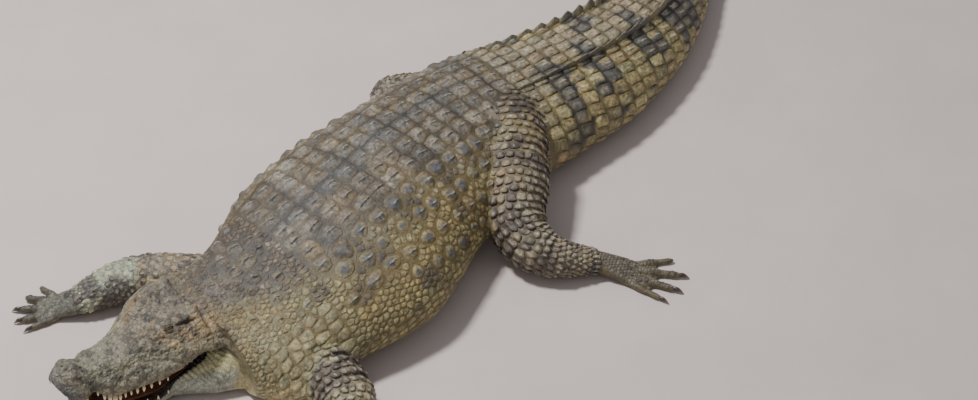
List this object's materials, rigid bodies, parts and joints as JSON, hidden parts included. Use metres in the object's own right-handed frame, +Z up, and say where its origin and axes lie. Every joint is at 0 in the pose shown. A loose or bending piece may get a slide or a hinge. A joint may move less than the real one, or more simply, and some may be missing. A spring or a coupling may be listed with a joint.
{
  "type": "crocodile",
  "caption": "Life-size Nile crocodile model at rest on its belly, mouth open, limbs spread, tail with a double then single crest",
  "frame": {"origin": "on the floor under the middle of the belly, on the flat the belly rests on", "axes": "+Z up; +X along the trunk toward the tail; the head is toward -X; the left flank faces -Y"},
  "size_m": [3.9622, 1.7326, 0.405],
  "materials": {
    "hide": "scaly, satin",
    "eye": "polished",
    "claw": "smooth horn",
    "mouth": "moist, satin"
  },
  "bodies": {
    "root": {"head": "hide", "lower_jaw": "hide", "tongue": "mouth", "eye_left": "eye", "eye_right": "eye", "neck": "hide", "chest": "hide", "belly": "hide", "hips": "hide", "tail_1": "hide", "tail_2": "hide", "tail_3": "hide", "tail_4": "hide", "tail_5": "hide", "tail_6": "hide", "upper_arm_left": "hide", "upper_arm_right": "hide", "forearm_left": "hide", "forearm_right": "hide", "hand_left": "hide", "hand_right": "hide", "thigh_left": "hide", "thigh_right": "hide", "shank_left": "hide", "shank_right": "hide", "foot_left": "hide", "foot_right": "hide", "claw_hand_left_1": "claw", "claw_hand_left_2": "claw", "claw_hand_left_3": "claw", "claw_hand_right_1": "claw", "claw_hand_right_2": "claw", "claw_hand_right_3": "claw", "claw_foot_left_1": "claw", "claw_foot_left_2": "claw", "claw_foot_left_3": "claw", "claw_foot_right_1": "claw", "claw_foot_right_2": "claw", "claw_foot_right_3": "claw"}
  },
  "joints": []
}
